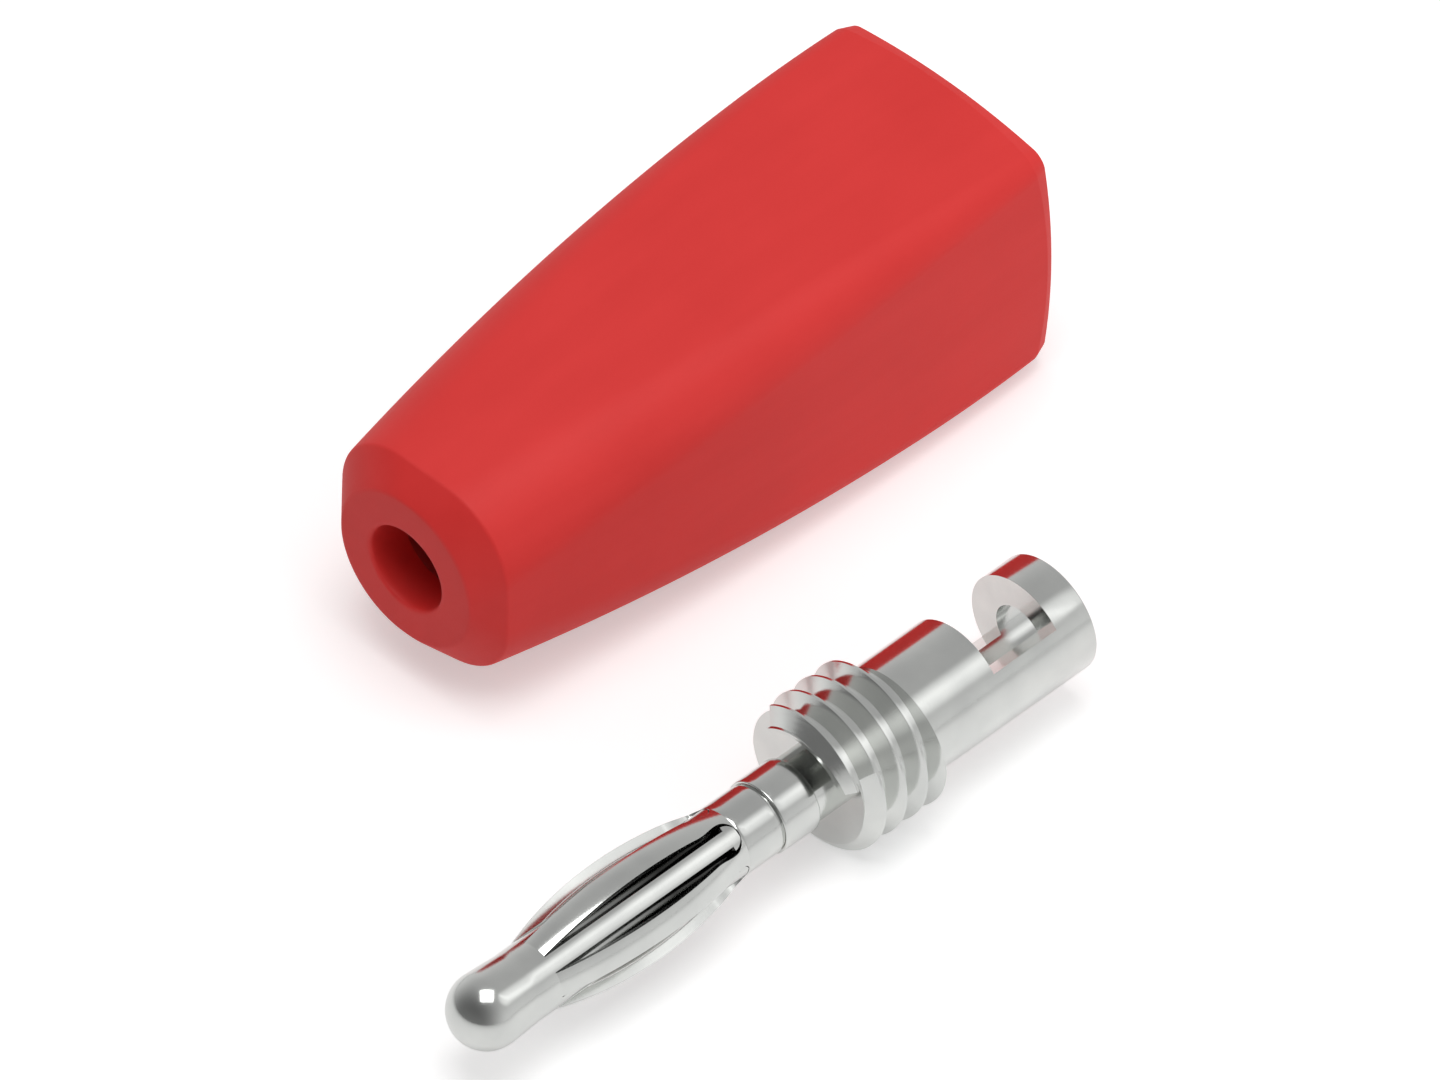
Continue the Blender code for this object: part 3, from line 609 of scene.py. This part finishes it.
class Paint:
    """The node tree of one material, with its Principled shader."""

    def __init__(self, name):
        self.material = bpy.data.materials.new(name)
        self.material.use_nodes = True
        self.tree = self.material.node_tree
        self.shader = self.tree.nodes["Principled BSDF"]

    def give(self, inputs, name, value):
        """Links or sets one socket."""
        if isinstance(value, Wire):
            self.tree.links.new(value.socket, inputs[name])
        else:
            inputs[name].default_value = value

    def node(self, kind, settings=None, values=None):
        """Adds a node: its settings first, then the values or links of its sockets. Gives its outputs."""
        made = self.tree.nodes.new(kind)
        for name, value in (settings or {}).items():
            setattr(made, name, value)
        for name, value in (values or {}).items():
            self.give(made.inputs, name, value)
        return [Wire(self, socket) for socket in made.outputs]

    def set(self, **values):
        """Sets the Principled shader's sockets, each named with underscores for its spaces."""
        for name, value in values.items():
            self.give(self.shader.inputs, name.replace("_", " "), value)

    def place(self):
        """The point on the piece in millimetres, as x, y and z."""
        point = self.node("ShaderNodeTexCoord")[3]
        scaled = self.node("ShaderNodeVectorMath", {"operation": "SCALE"}, {0: point, "Scale": 1 / MM})[0]
        return scaled, self.node("ShaderNodeSeparateXYZ", {}, {0: scaled})

    def noise(self, point, scale, detail=2.0, roughness=0.5):
        """Noise from 0 to 1, scale being its coarsest lumps per unit of the point."""
        return self.node("ShaderNodeTexNoise", {}, {
            "Vector": point, "Scale": scale, "Detail": detail, "Roughness": roughness})[0]

    def blend(self, share, first, second):
        """A colour between two, by a share from 0 to 1."""
        return self.node("ShaderNodeMix", {"data_type": "RGBA"}, {0: share, 6: first, 7: second})[2]

    def between(self, value, low, high):
        """0 at low, 1 at high, held in between."""
        return self.node("ShaderNodeMapRange", {"clamp": True}, {0: value, 1: low, 2: high})[0]

    def bump(self, height, distance):
        """A normal that follows a height from 0 to 1, distance millimetres deep."""
        return self.node("ShaderNodeBump", {}, {
            "Height": height, "Distance": distance * MM, "Strength": 1.0})[0]


def colour(red, green, blue):
    return (red, green, blue, 1.0)


def nickel(name, turning_depth):
    """Bright nickel plate: fine turning rings along X, faint haze and specks, and painted shade under the
    cage.
    """
    paint = Paint(name)
    point, (x, y, z) = paint.place()
    haze = paint.noise(point, 0.55, 3.0)
    specks = paint.noise(point, 9.0, 3.0, 0.6)
    rings = paint.noise(paint.node("ShaderNodeCombineXYZ", {}, {0: x * 16.0, 1: y * 0.15, 2: z * 0.15})[0],
                        1.0, 4.0, 0.7)
    # Painted shade: what lies under the slotted cage, the pin and the inside of the cage's wall, is painted
    # a dark colour, darker towards the rear.
    bore = CAGE_RADIUS - CAGE_WALL
    across = paint.node("ShaderNodeCombineXYZ", {}, {0: 0.0, 1: y - float(CONTACT_AT[1]),
                                                     2: z - float(CONTACT_AT[2])})[0]
    from_axis = paint.node("ShaderNodeVectorMath", {"operation": "LENGTH"}, {0: across})[1]
    start, end = float(CONTACT_AT[0]) + CAGE_START_X, float(CONTACT_AT[0]) + REAR_COLLAR_END_X
    painted_shade_under_cage = paint.between(from_axis, bore + 0.08, bore - 0.02) * paint.between(x, start, start + 6.0)
    painted_shade_under_cage = painted_shade_under_cage * paint.between(x, end, end - 0.2)
    plate = paint.blend(paint.between(haze, 0.35, 0.7), colour(0.68, 0.69, 0.67), colour(0.61, 0.62, 0.605))
    paint.set(
        # Base colour: the plate, with painted shade in a dark colour under the cage.
        Base_Color=paint.blend(painted_shade_under_cage, plate, colour(0.05, 0.05, 0.048)),
        Metallic=1.0,
        Roughness=0.09 + 0.05 * haze + 0.04 * rings + 0.02 * specks,
        Normal=paint.bump(rings * 0.8 + specks * 0.2, turning_depth),
    )
    return paint.material


def red_plastic():
    """Moulded red plastic: satin, with a fine even grain, faint flow marks and small colour changes."""
    paint = Paint("red_moulded_plastic")
    point, (x, y, z) = paint.place()
    cloud = paint.noise(point, 0.22, 3.0)
    flow = paint.noise(paint.node("ShaderNodeCombineXYZ", {}, {0: x * 0.12, 1: y * 0.9, 2: z * 0.9})[0],
                       1.0, 2.0)
    grain = paint.noise(point, 11.0, 3.0, 0.6)
    paint.set(
        Base_Color=paint.blend(paint.between(cloud * 0.6 + flow * 0.4, 0.3, 0.7),
                               colour(0.72, 0.020, 0.017), colour(0.78, 0.028, 0.025)),
        Roughness=0.54 + 0.10 * grain + 0.06 * cloud,
        Normal=paint.bump(grain * 0.8 + flow * 0.2, 0.005),
        IOR=1.49,
        Specular_IOR_Level=0.5,
    )
    return paint.material


def floor_material():
    """Pale matt card with a faint even tooth. A glow that only views and reflections meet lifts it to
    white, and lights nothing. It is weaker in reflections and fades there away from the middle."""
    paint = Paint("pale_card")
    point, _ = paint.place()
    tooth = paint.noise(point, 0.4, 2.0)
    ray = paint.node("ShaderNodeLightPath")
    away = paint.node("ShaderNodeVectorMath", {"operation": "LENGTH"}, {0: point})[1]
    mirrored = (ray[3] + ray[6]) * paint.between(away, 60.0, 12.0)
    seen = paint.between(ray[0] + mirrored * 0.8, 0.0, 1.0)
    paint.set(
        Base_Color=paint.blend(tooth, colour(0.80, 0.80, 0.80), colour(0.82, 0.82, 0.82)),
        Roughness=0.9,
        Emission_Color=paint.blend(seen, colour(0, 0, 0), colour(0.41, 0.41, 0.41)),
        Emission_Strength=1.0,
    )
    return paint.material


# Stage, light and camera

def aim(obj, target):
    """Turns a lamp or camera to face a point."""
    obj.rotation_euler = (Vector(target) - obj.location).to_track_quat("-Z", "Y").to_euler()


def softbox(name, direction, distance, size, watts):
    """A square lamp that faces the plug from a direction."""
    lamp = bpy.data.lights.new(name, "AREA")
    lamp.shape = "RECTANGLE"
    lamp.size, lamp.size_y = size
    lamp.energy = watts
    holder = bpy.data.objects.new(name, lamp)
    holder.location = Vector(VIEW_TARGET) + Vector(direction).normalized() * distance
    bpy.context.scene.collection.objects.link(holder)
    aim(holder, VIEW_TARGET)
    return holder


def studio():
    """Pale floor, soft sky, a softbox to the right of the camera, a fill lamp at the side and a wide
    softbox overhead. The camera looks the way the photo does."""
    edge = FLOOR_HALF_SIDE
    mesh = bpy.data.meshes.new("floor")
    mesh.from_pydata([(-edge, -edge, 0), (edge, -edge, 0), (edge, edge, 0), (-edge, edge, 0)], [],
                     [(0, 1, 2, 3)])
    floor = bpy.data.objects.new("floor", mesh)
    bpy.context.scene.collection.objects.link(floor)
    floor.data.materials.append(floor_material())

    world = bpy.data.worlds.new("studio_sky")
    bpy.context.scene.world = world
    world.use_nodes = True
    tree = world.node_tree
    toward_sky = tree.nodes.new("ShaderNodeTexCoord").outputs["Generated"]
    direction = tree.nodes.new("ShaderNodeSeparateXYZ")
    tree.links.new(toward_sky, direction.inputs[0])
    glow = tree.nodes.new("ShaderNodeVectorMath")
    glow.operation = "DOT_PRODUCT"
    glow.inputs[1].default_value = Vector(RIGHT_LIGHT_DIRECTION).normalized()
    tree.links.new(toward_sky, glow.inputs[0])

    def level(source, low, high, dark, bright):
        """A grey that goes softly from dark at low to bright at high."""
        made = tree.nodes.new("ShaderNodeMapRange")
        made.interpolation_type = "SMOOTHSTEP"
        for socket, value in zip(made.inputs[1:5], (low, high, dark, bright)):
            socket.default_value = value
        tree.links.new(source, made.inputs[0])
        return made.outputs[0]

    def join(operation, first, second):
        """Two values by one Math node."""
        made = tree.nodes.new("ShaderNodeMath")
        made.operation = operation
        tree.links.new(first, made.inputs[0])
        tree.links.new(second, made.inputs[1])
        return made.outputs[0]

    # An even sky that is darker on the nose side, with one soft bright patch to the camera's right.
    sky = join("MULTIPLY", level(direction.outputs[2], 0.0, 0.9, 0.78, 0.50),
               level(direction.outputs[0], -0.9, 0.25, 0.26, 1.0))
    sky = join("ADD", sky, level(glow.outputs[1], 0.93, 0.998, 0.0, 0.55))
    tree.links.new(sky, tree.nodes["Background"].inputs["Color"])
    tree.nodes["Background"].inputs["Strength"].default_value = 1.0

    softbox("right_softbox", RIGHT_LIGHT_DIRECTION, 0.5, (0.05, 0.30), 0.015)
    fill = softbox("side_fill", (0.1, -1.0, 0.25), 0.5, (0.4, 0.4), 0.24)
    fill.visible_glossy = False
    softbox("overhead_softbox", (-0.1, -0.1, 1.0), 0.6, (0.36, 0.36), 1.6)

    lens = bpy.data.cameras.new("camera")
    lens.type = "ORTHO"
    lens.ortho_scale = VIEW_WIDTH
    camera = bpy.data.objects.new("camera", lens)
    bpy.context.scene.collection.objects.link(camera)
    camera.location = Vector(VIEW_TARGET) + Vector(VIEW_DIRECTION).normalized() * VIEW_DISTANCE
    aim(camera, VIEW_TARGET)
    bpy.context.scene.camera = camera
    bpy.context.scene.view_settings.view_transform = "Standard"


def dress(piece, node, material):
    """Gives a piece its finish and lets it stand for a CAD node."""
    piece.data.materials.clear()
    piece.data.materials.append(material)
    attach(piece, "root")
    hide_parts(node)


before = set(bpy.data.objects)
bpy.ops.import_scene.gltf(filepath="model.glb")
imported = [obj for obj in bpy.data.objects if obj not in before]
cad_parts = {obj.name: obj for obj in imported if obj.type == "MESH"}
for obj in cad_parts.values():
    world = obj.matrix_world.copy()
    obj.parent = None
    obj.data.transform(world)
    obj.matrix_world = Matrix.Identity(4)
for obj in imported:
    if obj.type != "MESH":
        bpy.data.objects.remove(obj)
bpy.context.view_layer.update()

dress(sleeve_moulding(), "insulating_sleeve", red_plastic())
dress(spring_cage(), "spring_contact", nickel("bright_nickel_spring", 0.0010))
dress(turned_body(), "contact_body", nickel("bright_nickel_turned", 0.0016))
studio()
